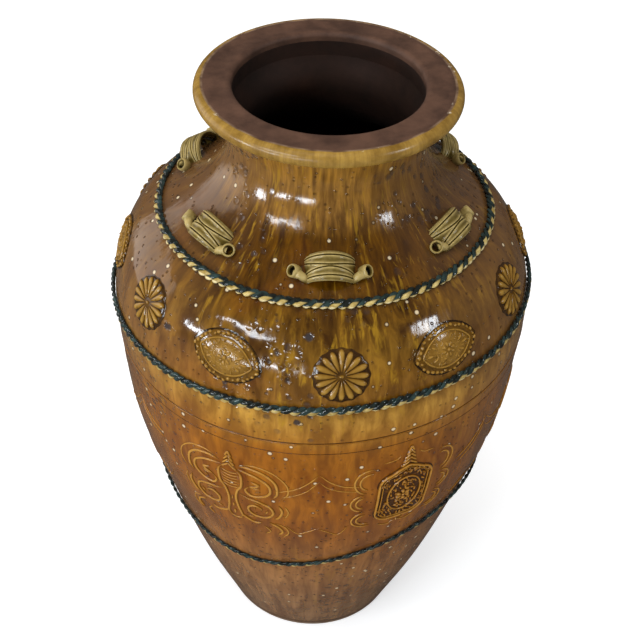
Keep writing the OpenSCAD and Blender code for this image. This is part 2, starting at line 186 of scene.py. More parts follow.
@contextmanager
def editing(o):
    """Edit Mode with the whole mesh selected, and Object Mode afterwards."""
    pick(o)
    bpy.ops.object.mode_set(mode="EDIT")
    bpy.ops.mesh.select_all(action="SELECT")
    yield
    bpy.ops.object.mode_set(mode="OBJECT")


def named(o, name):
    o.name = o.data.name = name
    return o


def keep_value(o, name, values):
    a = o.data.attributes.get(name) or o.data.attributes.new(name, "FLOAT", "POINT")
    a.data.foreach_set("value", np.clip(values, 0, 1).astype(np.float32))
    return o


def set_crest(o, low, high):
    """Writes 0 at the foot of a relief and 1 at its top."""
    return keep_value(o, "crest", (points_of(o)[:, 2] / MM - low) / (high - low))


def copy_of(o, name):
    return named(new_object(name, o.data.copy()), name)


def joined(objects, name):
    pick(*objects)
    bpy.ops.object.join()
    return named(bpy.context.object, name)


def close_up(o):
    with editing(o):
        bpy.ops.mesh.remove_doubles(threshold=0.01 * MM)
        bpy.ops.mesh.normals_make_consistent(inside=False)
    return o


def smooth(o, angle):
    pick(o)
    bpy.ops.object.shade_smooth_by_angle(angle=math.radians(angle))
    return o


def discard(*objects):
    for o in objects:
        bpy.data.objects.remove(o)


def settle(o, slot, *nodes):
    """Hands a finished piece to the frame: it rides on the one body and stands for its nodes."""
    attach(o, "root")
    if nodes:
        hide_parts(*nodes)
    return o


print("helpers ready")

# %% [markdown]
# The body was thrown in sections that were luted together, and the same sections are turned
# here. A closed outline of each section's wall is spun once round the axis, as on the wheel.
# The outline is 9 mm thick, square to the wall, and its steps are small, so the highlights run
# over it without a break.

# %% Turn the wall sections
WALL, TURNS = 9.0, 256


def turned(name, outline):
    """Spins a closed outline of (radius, height) pairs in mm."""
    o = added(bpy.ops.mesh.primitive_circle_add, vertices=len(outline), radius=0.1,
              fill_type="NOTHING")
    set_points(o, np.array([[r * MM, 0, z * MM] for r, z in outline]))
    with editing(o):
        bpy.ops.mesh.spin(steps=TURNS, angle=2 * math.pi, center=(0, 0, 0), axis=(0, 0, 1))
    return smooth(close_up(named(o, name)), 50)


def section(name, z0, z1, step):
    zs = np.linspace(z0, z1, int(math.ceil((z1 - z0) / step)) + 1)
    inner_zs = np.linspace(z1, z0, int(math.ceil((z1 - z0) / (3 * step))) + 1)
    outer = [(float(wall_r(z)), z) for z in zs]
    inner = [(float(wall_r(z) - WALL * math.hypot(1, wall_slope(z))), z) for z in inner_zs]
    return turned(name + "_shell", outer + inner)


walls = {name: section(name, z0, z1, step) for name, z0, z1, step in (
    ("lower_wall", 14, 250, 4), ("belly_wall", 250, 458, 3), ("shoulder_wall", 458, 612, 2),
    ("neck", 612, 676, 1.5))}
print({k: len(o.data.polygons) for k, o in walls.items()})

# %% [markdown]
# The base is a disc with a low hollow underneath, so that only a ring touches the ground. The
# glaze was wiped off its edge before firing.

# %% Turn the base
FOOT_R, RING_W, HOLLOW, BASE_T = 104, 20, 2.5, 14
ring_r = FOOT_R - RING_W
side = [(float(wall_r(z)), z) for z in np.linspace(1.2, BASE_T, 6)]
under = [(0, BASE_T), (0, HOLLOW), (ring_r - 2, HOLLOW), (ring_r, HOLLOW - 0.6),
         (ring_r + 1.5, 0), (FOOT_R - 1.5, 0), (FOOT_R - 0.4, 0.5)]
base = turned("base_disc_shell", side + under)
print("base faces:", len(base.data.polygons))

# %% [markdown]
# The rim was thrown as a thick flat ring. Its top is almost flat with a faint dip and a worn
# edge, its lip is a soft rounded band, and the mouth has an upright wall with a rounded edge.
# The outline is drawn from arcs and spun like the wall.

# %% Turn the mouth rim
RIM_Z, TOP_Z = 676, 700
MOUTH_R, FLAT_R, LIP_R, EDGE_R, TOP_DIP = 89, 116.5, 8, 5, 0.7


def arc(cx, cy, r, a0, a1, n):
    return [(cx + r * math.cos(math.radians(a0 + (a1 - a0) * i / n)),
             cy + r * math.sin(math.radians(a0 + (a1 - a0) * i / n))) for i in range(n + 1)]


upright = [(MOUTH_R, z) for z in np.linspace(RIM_Z, TOP_Z - EDGE_R, 6)[:-1]]
mouth_edge = arc(MOUTH_R + EDGE_R, TOP_Z - EDGE_R, EDGE_R, 180, 90, 8)
flat_top = [(r, TOP_Z - TOP_DIP * math.sin(math.pi * (r - 94) / 18.5))
            for r in np.linspace(96, 112.5, 10)]
worn_edge = [(113.6, TOP_Z - 0.05), (114.8, TOP_Z - 0.1), (116.0, TOP_Z - 0.35)]
lip = arc(FLAT_R, TOP_Z - LIP_R, LIP_R, 84, -84, 20)
under_lip = [(112, 683.9), (106, 683.0), (101.5, 680.8), (99.2, 678.6), (98.2, RIM_Z)]
rim = turned("mouth_rim_ring", upright + mouth_edge + flat_top + worn_edge + lip + under_lip)
print("rim radius and top in mm:", (points_of(rim).max(axis=0)[[0, 2]] / MM).round(2))

# %% [markdown]
# Each rope is two rolls of clay twisted together and pressed round the wall, so it is half as
# high as it is wide. A round roll that follows a corkscrew line does this: the line winds round
# the middle of the rope while the middle goes round the jar, and the finished roll is flattened
# towards the wall. The middle rope was laid higher on the right, and the thin lower rope rises
# and dips. Each point keeps two values for the glaze: how far it stands out, and whether it is
# on the lower side of the rope.

# %% Lay the clay ropes
PITCH, FLAT, LAID_ON = 16.5, 0.5, 0.2
ROPES = {  # thickness, height, climb, wave, wander
    "upper_rope": (4.8, 568, 0, 0, 0.4),
    "middle_rope": (4.8, 485, 10, 0, 1.9),
    "lower_rope": (3.8, 232, 0, 34, 3.3)}


def clay_roll(name, places, radius, sides=8, radii=None, closed=True):
    """A roll of clay along a line of places in metres."""
    line = bpy.data.curves.new(name, "CURVE")
    line.dimensions = "3D"
    s = line.splines.new("POLY")
    s.points.add(len(places) - 1)
    s.points.foreach_set("co", np.c_[places, np.ones(len(places))].astype(np.float32).ravel())
    if radii is not None:
        s.points.foreach_set("radius", np.array(radii, np.float32))
    s.use_cyclic_u = closed
    line.bevel_depth = radius * MM
    line.bevel_resolution = sides // 4
    line.use_fill_caps = not closed
    pick(new_object(name, line))
    bpy.ops.object.convert(target="MESH")
    return bpy.context.object


def rope_strand(name, thick, z0, climb, wave, wander, start):
    reach, strand_r = thick + 0.05, thick * 0.53
    turns = round(2 * math.pi * (float(wall_r(z0)) + thick) / PITCH)
    a = np.linspace(0, 2 * math.pi, turns * 14, endpoint=False)
    uneven = (0.35 * np.sin(3 * a + wander) + 0.25 * np.sin(7 * a + 2 * wander)
              + 0.18 * np.sin(31 * a + wander))

    def middle(a):
        return z0 + climb * np.sin(a) + wave * np.sin(2 * a - math.radians(30))

    z = middle(a) + 0.4 * uneven
    roll = a * turns + math.radians(start) + 1.3 * uneven
    lean = wall_lean(z)
    n = reach + LAID_ON + (reach - strand_r) * np.cos(roll)
    m = (reach - strand_r) * np.sin(roll)
    r = wall_r(z) + n * np.cos(lean) - m * np.sin(lean)
    places = round_axis(r, a, z + n * np.sin(lean) + m * np.cos(lean))
    o = clay_roll(name, places, strand_r,
                  radii=1 + 0.10 * np.sin(17 * a + wander) + 0.06 * np.sin(53 * a))
    co = points_of(o) / MM
    r, at = np.hypot(co[:, 0], co[:, 1]), np.arctan2(co[:, 0], -co[:, 1])
    lean = wall_lean(co[:, 2])
    depth = (r - wall_r(co[:, 2])) * np.cos(lean)
    change = LAID_ON + (depth - LAID_ON) * FLAT - depth
    new_r, new_z = r + change * np.cos(lean), co[:, 2] + change * np.sin(lean)
    keep_value(o, "crest", (depth + change) / (2 * reach * FLAT))
    up, out = new_z - middle(at), new_r - wall_r(middle(at))
    tilt = wall_lean(middle(at))
    keep_value(o, "below", 0.5 - (up * np.cos(tilt) - out * np.sin(tilt)) / (2 * reach))
    set_points(o, np.c_[co[:, :2] / r[:, None] * new_r[:, None], new_z] * MM)
    return smooth(o, 180)


ropes = {}
for rope, shape in ROPES.items():
    for shade, start in (("light", 0), ("dark", 180)):
        ropes[f"{rope}_{shade}"] = rope_strand(f"{rope}_{shade}_roll", *shape, start)
print({k: len(o.data.polygons) for k, o in ropes.items()})

# %% [markdown]
# Sprigs are thin pads of clay pressed in a mould. A pad starts as a filled outline, is drawn up
# and stepped inwards ring by ring, and so gets a rounded edge and enough points inside to bend
# with the wall.

# %% A pad from an outline


def pad(name, outline, rings, low, high):
    """Raises an outline in steps of (share of its size, height in mm)."""
    o = added(bpy.ops.mesh.primitive_circle_add, vertices=len(outline), radius=0.1,
              fill_type="NGON")
    set_points(o, np.array([[x * MM, y * MM, rings[0][1] * MM] for x, y in outline]))
    with editing(o):
        for (share, height), (next_share, next_height) in zip(rings, rings[1:]):
            bpy.ops.mesh.extrude_region_move(
                TRANSFORM_OT_translate={"value": (0, 0, (next_height - height) * MM)})
            s = next_share / share
            bpy.ops.transform.resize(value=(s, s, 1), center_override=(0, 0, 0))
        bpy.ops.mesh.poke()
    return set_crest(named(o, name), low, high)


def shifted(o, x, y, z=0.0, turn=0.0):
    o.data.transform(Matrix.Translation((x * MM, y * MM, z * MM))
                     @ Matrix.Rotation(math.radians(turn), 4, "Z"))
    return o


print("pad maker ready")

# %% [markdown]
# A leaf, a petal or a bead is a small drop of clay. One drop is a sphere drawn out and narrowed
# at one end. It is modelled once for each width and then stamped wherever the design needs it.

# %% A drop of clay and the stamp


def drop(length, width, height, taper=0.6, segments=10, rings=6):
    """A drop that starts at x = 0 and is widest towards its far end."""
    o = added(bpy.ops.mesh.primitive_uv_sphere_add, segments=segments, ring_count=rings, radius=1)
    co = points_of(o)[:, [2, 0, 1]]
    narrow = 1 - taper * (0.5 - 0.5 * co[:, 0])
    co = np.c_[(co[:, 0] + 1) * length / 2, co[:, 1] * width / 2 * narrow, co[:, 2] * height] * MM
    set_points(o, co)
    return close_up(o)


def stamp(name, master, places, low, high):
    """Copies one master to every place (x, y, turn, size, lift) and makes them one mesh."""
    co = points_of(master)
    polygons = [list(p.vertices) for p in master.data.polygons]
    all_co, all_faces = [], []
    for k, (x, y, turn, size, lift) in enumerate(places):
        c, s = math.cos(math.radians(turn)), math.sin(math.radians(turn))
        p = co * size
        all_co.append(np.c_[p[:, 0] * c - p[:, 1] * s + x * MM,
                            p[:, 0] * s + p[:, 1] * c + y * MM, p[:, 2] + lift * MM])
        all_faces += [[v + k * len(co) for v in f] for f in polygons]
    mesh = bpy.data.meshes.new(name)
    mesh.from_pydata(np.concatenate(all_co).tolist(), [], all_faces)
    return set_crest(new_object(name, mesh), low, high)


def star(count, r, size, lift, start=0.0):
    """Places for petals that spread from a middle."""
    return [(r * math.cos(a), r * math.sin(a), math.degrees(a), size, lift)
            for a in np.arange(count) * 2 * math.pi / count + start]


print("a drop has", len(drop(10, 5, 2).data.polygons), "faces")
discard(bpy.context.object)

# %% [markdown]
# Lines in the design were trailed or cut into the soft clay. Each is a thin roll that follows a
# drawn line, flattened so that it lies low, and thinner towards its ends. The line bends
# smoothly through the points it is given.

# %% A trailed line


def through(points, n=8, closed=False):
    """Smooth places through drawn points."""
    p = [np.array(q, float) for q in points]
    p = [p[-1]] + p + [p[0], p[1]] if closed else [2 * p[0] - p[1]] + p + [2 * p[-1] - p[-2]]
    out = [0.5 * (2 * b + (c - a) * t + (2 * a - 5 * b + 4 * c - d) * t**2
                  + (3 * b - a - 3 * c + d) * t**3)
           for a, b, c, d in zip(p, p[1:], p[2:], p[3:]) for t in np.arange(n) / n]
    return np.array(out if closed else out + [p[-2]])


def trail(points, width, height, lift=0.0, closed=False, n=8):
    line = through(points, n, closed)
    places = np.c_[line, np.zeros(len(line))] * MM
    t = np.linspace(0, 1, len(line))
    radii = np.ones(len(line))
    if not closed:
        radii = 0.25 + 0.75 * np.clip(np.minimum(t, 1 - t) * 6, 0, 1) ** 0.6
    o = clay_roll("trail", places, width / 2, 8, radii, closed)
    co = points_of(o)
    co[:, 2] *= height / (width / 2)
    co[:, 2] += lift * MM
    set_points(o, co)
    return set_crest(o, lift, lift + height)


def both_sides(points, *args, **kw):
    return [trail(points, *args, **kw), trail([(-x, y) for x, y in points], *args, **kw)]


print("a line has", len(trail([(0, 0), (10, 5), (20, 0)], 2.0, 0.9).data.polygons), "faces")
discard(bpy.context.object)

# %% [markdown]
# The chrysanthemum has sixteen petals like small spoons with thick round tips. They touch, and a
# dark crease is left between each two. The pad behind them ends in a low skirt, where dark glaze
# gathered and painted shade is added, in a ring round the sprig.

# %% Model the chrysanthemum
PETALS, PETAL_L, BACK_R = 16, 20.5, 26.3
petal = drop(PETAL_L, 8.4, 2.0, taper=0.8, segments=12, rings=12)
co = points_of(petal)
x = co[:, 0] / (PETAL_L * MM)
co[:, 2] *= 0.55 + 0.25 * x + 0.55 * np.exp(-((x - 0.84) / 0.14) ** 2)
set_points(petal, co)
petals = stamp("petals", petal, [(x, y, turn, 1 + 0.03 * math.sin(5 * math.radians(turn)), lift)
                                 for x, y, turn, size, lift in star(PETALS, 4.2, 1, 1.3)],
               1.1, 3.2)
a = np.linspace(0, 2 * math.pi, 96, endpoint=False)
r = BACK_R + 0.5 * np.cos(PETALS * a)
edge = list(zip(r * np.cos(a), r * np.sin(a)))
back = pad("rosette_back", edge, [(1, -0.6), (1, 0.12), (0.93, 0.2), (0.915, 0.8), (0.9, 1.0),
                                  (0.8, 1.0), (0.6, 1.1), (0.4, 1.2), (0.2, 1.2)], 0.9, 6)
button = set_crest(shifted(drop(5.0, 4.4, 1.2, taper=0.5), -2.6, 0, 1.3), 1.2, 3)
rosette = joined([petals, back, button], "rosette_master")
discard(petal)
print("chrysanthemum faces:", len(rosette.data.polygons))

# %% [markdown]
# The medallion is a pointed oval with a border of beads, a plain ridge inside it and a flower
# with leaves in the middle, between small pebbles of clay. A pointed oval is where two wide
# circles overlap.

# %% Model the medallion
MEDALLION_L, MEDALLION_H, BEADS, PEBBLES = 70.0, 47.0, 34, 70


def pointed_oval(length, height, n=24):
    r = (length**2 + height**2) / (4 * height)
    half = math.degrees(math.asin(length / 2 / r))
    top = arc(0, height / 2 - r, r, 90 - half, 90 + half, n)
    return top[:-1] + [(-x, -y) for x, y in top[:-1]]


def along_oval(length, height, count):
    """Evenly spaced places with their direction, round a pointed oval."""
    line = np.array(pointed_oval(length, height, 60))
    line = np.r_[line, line[:1]]
    s = np.concatenate([[0], np.cumsum(np.hypot(*np.diff(line, axis=0).T))])
    at = np.arange(count) / count * s[-1]
    (x, y), (ahead_x, ahead_y) = [[np.interp(q, s, line[:, k]) for k in (0, 1)]
                                  for q in (at, at + 0.5)]
    return list(zip(x, y, np.degrees(np.arctan2(ahead_y - y, ahead_x - x))))


oval_back = pad("oval_back", pointed_oval(MEDALLION_L + 3, MEDALLION_H + 3), [
    (1, -0.6), (1, 0.12), (0.94, 0.2), (0.93, 0.9), (0.91, 1.2), (0.85, 1.2), (0.76, 1.0),
    (0.68, 1.7), (0.55, 2.3), (0.4, 2.7), (0.2, 2.9)], 0.2, 4.2)
bead = drop(4.3, 3.6, 1.9, taper=0.1)
beads = stamp("beads", bead, [
    (x + random.uniform(-0.3, 0.3), y + random.uniform(-0.3, 0.3), t + random.uniform(-25, 45),
     random.uniform(0.8, 1.1), 1.0)
    for x, y, t in along_oval(MEDALLION_L - 4.5, MEDALLION_H - 4, BEADS)], 0.9, 2.9)
ridge = trail(pointed_oval(MEDALLION_L - 17, MEDALLION_H - 14, 12), 2.0, 1.5, 1.3,
              closed=True, n=3)
oval_petal = drop(7.2, 5.4, 2.2, taper=0.55)
flower = stamp("flower", oval_petal, star(8, 2, 0.85, 2.4, 0.2), 1.6, 4.6)
heart = set_crest(shifted(drop(4.4, 4.4, 2.2, taper=0), -2.2, 0, 2.8), 2.0, 5.0)
leaf = drop(7.5, 3.6, 1.9, taper=0.7)
leaf_places = [(s * x, s * y, turn + 90 - 90 * s, size) for s in (1, -1) for x, y, turn, size in (
    (11, 3, 35, 1), (11, -4, -30, 0.95), (15, 0, 5, 1), (16.5, 5, 160, 0.7), (17, -5.5, 200, 0.7),
    (10, 8.5, 60, 0.7), (9, -9, -70, 0.7), (21, -0.5, -10, 0.6), (4, 11, 20, 0.75),
    (5, -11.5, 170, 0.7))]
for k in range(PEBBLES):
    a, far = 2.4 * k, 0.12 + 0.86 * math.sqrt((k + 0.5) / PEBBLES)
    leaf_places.append((24 * far * math.cos(a),
                        13.5 * far * math.sin(a) * (1 - 0.35 * abs(math.cos(a)) * far),
                        random.uniform(0, 360), random.uniform(0.45, 0.75)))
leaves = stamp("leaves", leaf, [
    (x, y, turn, size, 0.9 + 1.7 * max(0, 1 - (x / 26) ** 2 - (y / 17) ** 2))
    for x, y, turn, size in leaf_places], 0.7, 4.0)
medallion = joined([oval_back, beads, ridge, flower, heart, leaves], "medallion_master")
discard(bead, oval_petal)
print("medallion faces:", len(medallion.data.polygons))

# %% [markdown]
# The lattice panel is a tall plaque with a pointed top. It has a double raised border, an oval
# frame inside and a close carpet of leaves and small flowers, with a leafy finial above. The
# leaves are stamped in rows whose direction sways, so that the carpet has an order, and the gaps
# between them stay deep.

# %% Model the lattice panel
PANEL_W, PANEL_H, PANEL_Z = 56.0, 92.0, 303.0
FRAME_RX, FRAME_RY, LEAF_STEP_X, LEAF_STEP_Y = 17, 28, 4.9, 4.6
middle_y = PANEL_H / 2


def panel_outline(inset, y0=0.0, n=7):
    w, h, r, point = PANEL_W - 2 * inset, PANEL_H - 2 * inset, 17 - inset, 9
    right = arc(w / 2 - r, r, r, -90, 0, n) + arc(w / 2 - r, h - point - r, r, 0, 70, n)
    rise = [(w / 2 * k, h - point * (k * 1.75) ** 1.3) for k in (0.42, 0.28, 0.14)]
    half = [(x, y + inset - y0) for x, y in right + rise]
    return half + [(0, h + inset - y0)] + [(-x, y) for x, y in half[::-1]]


def chevrons(y, count, width, rise):
    """Stacked leaf pairs that narrow to a point."""
    lines = []
    for k in range(count):
        half, foot = width / 2 * (1 - 0.8 * k / count), y + k * rise
        lines += both_sides([(-half, foot), (-half * 0.4, foot + rise * 0.75),
                             (0, foot + rise * 1.35)], 2.5, 1.9, 0.1, n=5)
    return lines


plaque = shifted(pad("plaque", panel_outline(-1.2, middle_y), [
    (1, -0.6), (1, 0.12), (0.96, 0.2), (0.95, 0.9), (0.93, 1.0), (0.9, 0.6), (0.75, 0.6),
    (0.6, 0.6), (0.45, 0.6), (0.3, 0.6), (0.15, 0.6)], 0.7, 4), 0, middle_y)
border = [trail(panel_outline(1.3), 2.8, 2.0, 0.6, closed=True, n=2),
          trail(panel_outline(5.0), 1.3, 1.3, 0.5, closed=True, n=2)]
oval_frame = trail([(FRAME_RX * math.cos(a), middle_y - 2 + FRAME_RY * math.sin(a))
                    for a in np.linspace(0, 2 * math.pi, 20, endpoint=False)],
                   1.9, 1.6, 0.6, closed=True, n=3)
blossom = drop(5.2, 4.2, 2.0, taper=0.5, segments=8, rings=6)
leaf_small = drop(5.8, 3.0, 1.7, taper=0.65, segments=8, rings=5)
blossom_places, leaf_places = [], []
for x0, y0, size in ((-1.5, 44, 1.25), (2, 62, 0.85), (-3, 26, 0.85), (-22, 66, 0.7),
                     (21, 70, 0.75), (-21, 21, 0.75), (22, 24, 0.7), (0, 81, 0.6)):
    for a in np.arange(6) * 60 + 17 * x0:
        blossom_places.append((x0 + 1.5 * size * math.cos(math.radians(a)),
                               y0 + 1.5 * size * math.sin(math.radians(a)), a, size, 0.7))
    blossom_places.append((x0 - 1.3 * size, y0, 0, 0.5 * size, 1.9))
for k, row_y in enumerate(np.arange(7, 90, LEAF_STEP_Y)):
    for x in np.arange(-24, 25, LEAF_STEP_X):
        x += random.uniform(-1, 1)
        y = row_y + (1.6 if k % 2 else 0) + random.uniform(-0.8, 0.8)
        inside = (abs(x) < PANEL_W / 2 - 7 - max(0, 10 - y) * 0.6
                  and y < PANEL_H - 9 - abs(x) * 0.35)
        from_flower = min(math.hypot(x - p[0], y - p[1]) / (p[3] + 0.3) for p in blossom_places)
        frame_gap = abs(math.hypot(x / FRAME_RX, (y - middle_y + 2) / FRAME_RY) - 1)
        if inside and from_flower > 3.6 and frame_gap > 0.12:
            sway = 40 * math.sin(y / 7) + (70 if x < 0 else 110)
            leaf_places.append((x, y, sway + random.uniform(-35, 35),
                                random.uniform(0.75, 1.05), 0.6))
carpet = stamp("carpet", leaf_small, leaf_places, 0.6, 2.3)
blossoms = stamp("blossoms", blossom, blossom_places, 0.7, 2.9)
lattice = joined([plaque, *border, oval_frame, carpet, blossoms,
                  *chevrons(PANEL_H - 2, 5, 17, 5.4)], "lattice_master")
discard(blossom, leaf_small)
print("lattice panel faces:", len(lattice.data.polygons), "leaves:", len(leaf_places))

# %% [markdown]
# The vase panel stands between two lattice panels. It is drawn only with lines and small leaves:
# a waisted vase with a finial, cross-cut on its neck, and a pair of tall scrolls with a round
# lobe below. Only the right half is drawn, and the left half is its mirror image.

# %% Model the vase panel
VASE_Z = 292.0
vase_lines = []
for width, height, half_lines in (
        (3.4, 1.5, (
            [(4.5, 2), (7.5, 10), (5, 26), (4, 42), (6.5, 56), (11, 66), (11.5, 82), (8, 90)],
            [(8, 92), (16, 91), (28, 87), (38, 78), (39, 66), (31, 57), (20, 55), (15, 62),
             (19, 69)],
            [(19, 69), (26, 72), (29, 77)],
            [(8, 52), (16, 48), (27, 46), (38, 40), (41, 29), (35, 19), (25, 17), (17, 22),
             (16, 31), (22, 37), (29, 34), (29, 28)],
            [(6, 12), (13, 6), (21, 2), (28, 4)],
            [(10, 97), (20, 99), (34, 95), (44, 84), (46, 68), (42, 58)],
            [(47, 46), (50, 36), (47, 24), (42, 18)],
            [(36, 8), (45, 2), (49, -8), (44, -17)])),
        (2.0, 0.8, (
            [(14, 101), (26, 104), (42, 99), (54, 85), (56, 70), (50, 58)],
            [(53, 46), (56, 35), (52, 22)],
            [(42, 9), (52, 3), (55, -10), (48, -22)],
            [(30, -2), (36, -12), (30, -20)]))):
    for points in half_lines:
        vase_lines += both_sides(points, width, height)
for y in 60 + 4.6 * np.arange(6):
    vase_lines.append(trail([(-9.5, y + 2.6), (0, y), (9.5, y + 2.6)], 1.3, 0.9, n=3))
vase_lines.append(trail([(-7.5, 3), (0, 0), (7.5, 3)], 2.2, 1.1, n=4))
vase_lines += chevrons(90, 4, 16, 6)
scroll_leaf = drop(9, 4.4, 1.6, taper=0.7)
leaf_places = [(s * x, y, turn if s == 1 else 180 - turn, size, 0) for x, y, turn, size in (
    (21, 79, -25, 1.1), (30, 70, 200, 0.9), (24, 62, 20, 0.7), (29, 41, 165, 0.8),
    (36, 33, 250, 0.9), (23, 29, 100, 0.6), (14, 12, 15, 0.8), (0, 8, 90, 1), (0, 22, 90, 0.9),
    (0, 36, 90, 0.8)) for s in ((1, -1) if x else (1,))]
vase = joined([*vase_lines, stamp("scroll_leaves", scroll_leaf, leaf_places, 0, 1.6)],
              "vase_master")
discard(scroll_leaf)
print("vase panel faces:", len(vase.data.polygons))

# %% [markdown]
# Round each lattice panel, nested cloud lines are cut into the belly, three lobes on each side,
# and pointed bracket lines join the panels. They are lower and thinner than the sprigs. A line
# cut round the whole belly closes the field above them.

# %% Model the cloud and bracket lines
clouds = []
for share in (1, 0.66):
    for cx, cy, rx, ry, a0, a1 in ((-36, 76, 15, 19, 75, 260), (-38, 41, 15, 15, 100, 262),
                                   (-35, 8, 15, 15, 100, 290)):
        clouds += both_sides([(cx + rx * share * math.cos(a), cy + ry * share * math.sin(a))
                              for a in np.radians(np.linspace(a0, a1, 9))], 2.6, 1.1, n=4)
clouds += both_sides([(-26, 101), (-14, 103), (-9, 108)], 1.5, 0.7)
clouds += both_sides([(-22, -9), (-10, -14), (0, -8)], 1.6, 0.8)
drops_below = stamp("drops_below", leaf, [(0, -12, 90, 0.9, 0), (-4, -9, 130, 0.7, 0),
                                          (4, -9, 50, 0.7, 0)], 0, 1.8)
cloud = joined([*clouds, drops_below], "cloud_master")
bracket = joined([trail(points, width, height, n=6) for points, width, height in (
    ([(-42, -30), (-33, -26), (-20, -19), (-9, -8), (0, 4)], 1.6, 0.8),
    ([(0, 4), (9, -6), (21, -14), (33, -17), (42, -18)], 1.6, 0.8),
    ([(-38, -38), (-28, -34), (-14, -25), (-6, -15), (0, -7)], 1.3, 0.6),
    ([(0, -7), (8, -16), (20, -22), (34, -25), (41, -26)], 1.3, 0.6),
    ([(-34, -92), (-22, -108), (-10, -102), (0, -94)], 1.4, 0.7),
    ([(0, -94), (12, -102), (24, -108), (34, -90)], 1.4, 0.7))], "bracket_master")
discard(leaf)
print("cloud faces:", len(cloud.data.polygons), "bracket faces:", len(bracket.data.polygons))

# %% [markdown]
# A lug is an arched strap of clay, a little wider in the middle. Grooves were drawn in its back
# with a tool: one along each edge, and two arcs that bend towards each other and nearly meet in
# the middle. Each groove has a sharp lip. A fine grid is bent to the arch, the grooves are sunk
# by moving its points, and a Solidify modifier gives the strap its thickness.

# %% Model the lug strap
STRAP_L, STRAP_RISE, STRAP_W, STRAP_END_W, STRAP_T = 45.0, 17.0, 27.0, 23.0, 5.2
GROOVE_W, GROOVE_DEPTH, LIP_H, FIELD_DEPTH, EDGE_DROP = 0.75, 1.5, 0.35, 0.35, 1.3
arch_r = ((STRAP_L / 2) ** 2 + STRAP_RISE**2) / (2 * STRAP_RISE)
arch_half = math.asin(min(1, STRAP_L / 2 / arch_r))
strap = added(bpy.ops.mesh.primitive_grid_add, x_subdivisions=84, y_subdivisions=72, size=2)
u, v, _ = points_of(strap).T
half_w = STRAP_END_W / 2 + (STRAP_W - STRAP_END_W) / 2 * (1 - u**2)
bend = np.abs(u) ** 1.6
from_groove = half_w * np.minimum.reduce([
    np.abs(v - 0.76 - 0.05 * u**2), np.abs(v - 0.10 - 0.44 * bend),
    np.abs(v + 0.03 + 0.46 * bend), np.abs(v + 0.62 + 0.16 * u**2)])
groove = np.clip(1 - from_groove / GROOVE_W, 0, 1)
raised_lip = np.exp(-((from_groove - 1.15) / 0.5) ** 2)
field = np.clip((from_groove - 1.3) / 2.0, 0, 1)
rolled_edge = np.clip((np.abs(v) - 0.9) / 0.1, 0, 1)
angle = u * (arch_half + math.radians(6))
reach = (arch_r - 0.3 - GROOVE_DEPTH * groove + LIP_H * raised_lip - FIELD_DEPTH * field
         - EDGE_DROP * rolled_edge**2)
set_points(strap, np.c_[reach * np.sin(angle), v * half_w,
                        reach * np.cos(angle) + STRAP_RISE - arch_r] * MM)
keep_value(strap, "crest",
           0.86 - groove * 1.2 + 0.16 * raised_lip - 0.34 * field + 0.3 * rolled_edge)
pick(strap)
thick = strap.modifiers.new("thickness", "SOLIDIFY")
thick.thickness = (STRAP_T - 1.3) * MM
thick.offset = -1
bpy.ops.object.modifier_apply(modifier="thickness")
close_up(strap)
print("strap faces:", len(strap.data.polygons), "top:", round(points_of(strap)[:, 2].max() / MM, 1))

# %% [markdown]
# Beside each end of a strap sits a curl like the bell of a small trumpet: a stout roll of clay
# comes out from under the strap, bends outwards and ends in a short open tube that leans away
# from the strap. The tube is a torus drawn out along its axis.

# %% Model the curls
CURL_LEAN, CURL_R, CURL_WALL_R, CURL_DRAW = 45, 4.85, 1.4, 3.6


def curl(side):
    tube = added(bpy.ops.mesh.primitive_torus_add, major_segments=32, minor_segments=16,
                 major_radius=CURL_R * MM, minor_radius=CURL_WALL_R * MM)
    co = points_of(tube) / MM
    wide = np.hypot(co[:, 0], co[:, 1])
    keep_value(tube, "crest",
               np.clip((wide - 3.7) / 0.8, 0, 1) * (0.75 + 0.25 * np.clip(co[:, 2], 0, 1)))
    flare = 1 + 0.07 * np.clip(co[:, 2] / CURL_WALL_R, -1, 1)
    set_points(tube, np.c_[co[:, 0] * flare, co[:, 1] * flare, co[:, 2] * CURL_DRAW] * MM)
    tube.data.transform(Matrix.Translation((side * 31.3 * MM, -1.5 * MM, 2.9 * MM))
                        @ Matrix.Rotation(math.radians(CURL_LEAN * side), 4, "Y"))
    line = through([(side * 21, -9.0, 0.5), (side * 24, -7.2, 3.6), (side * 27.5, -5.0, 4.2),
                    (side * 30.5, -3.4, 2.4)], 6)
    stalk = clay_roll("curl_neck", line * MM, 4.1, 16, np.linspace(0.85, 1.15, len(line)),
                      closed=False)
    return [tube, set_crest(stalk, -2, 6.5)]


curls = joined(curl(-1) + curl(1), "curls_master")
print("curl faces:", len(curls.data.polygons))

# %% [markdown]
# Every master is now copied to its places. The chrysanthemums and medallions stand 60 degrees
# apart and keep clear of the climbing rope. The lugs and panels were set out one by one, so their
# azimuths are uneven.

# %% Set the pieces out round the jar
LUG_TURNS, LUG_Z = [3, 60, 123, 185, 249, -50], 585.5
ROSETTE_TURN, ROSETTE_Z = 6.0, [519, 528, 526, 522, 522, 525]
MEDALLION_TURN, MEDALLION_Z = -24.5, [521, 523, 525, 522, 521, 521]
MEDALLION_TILT = [-8, 2, 4, -3, 5, -4]
PANEL_TURNS = [26, 84, 144, 204, 266, -23.5]
BRACKET_TURNS, BRACKET_Z = [55, 114, 174, 235, 301.25, 1.5], 391
pieces = {"sprig_glaze": [], "panel_glaze": [], "lug_glaze": []}


def set_out(master, name, z0, turn, glaze, *nodes, tilt=0, bring=press_on):
    o = shifted(copy_of(master, name), 0, 0, turn=tilt)
    bring(o, z0, turn)
    pieces[glaze].append(settle(smooth(o, 60), glaze, *nodes))


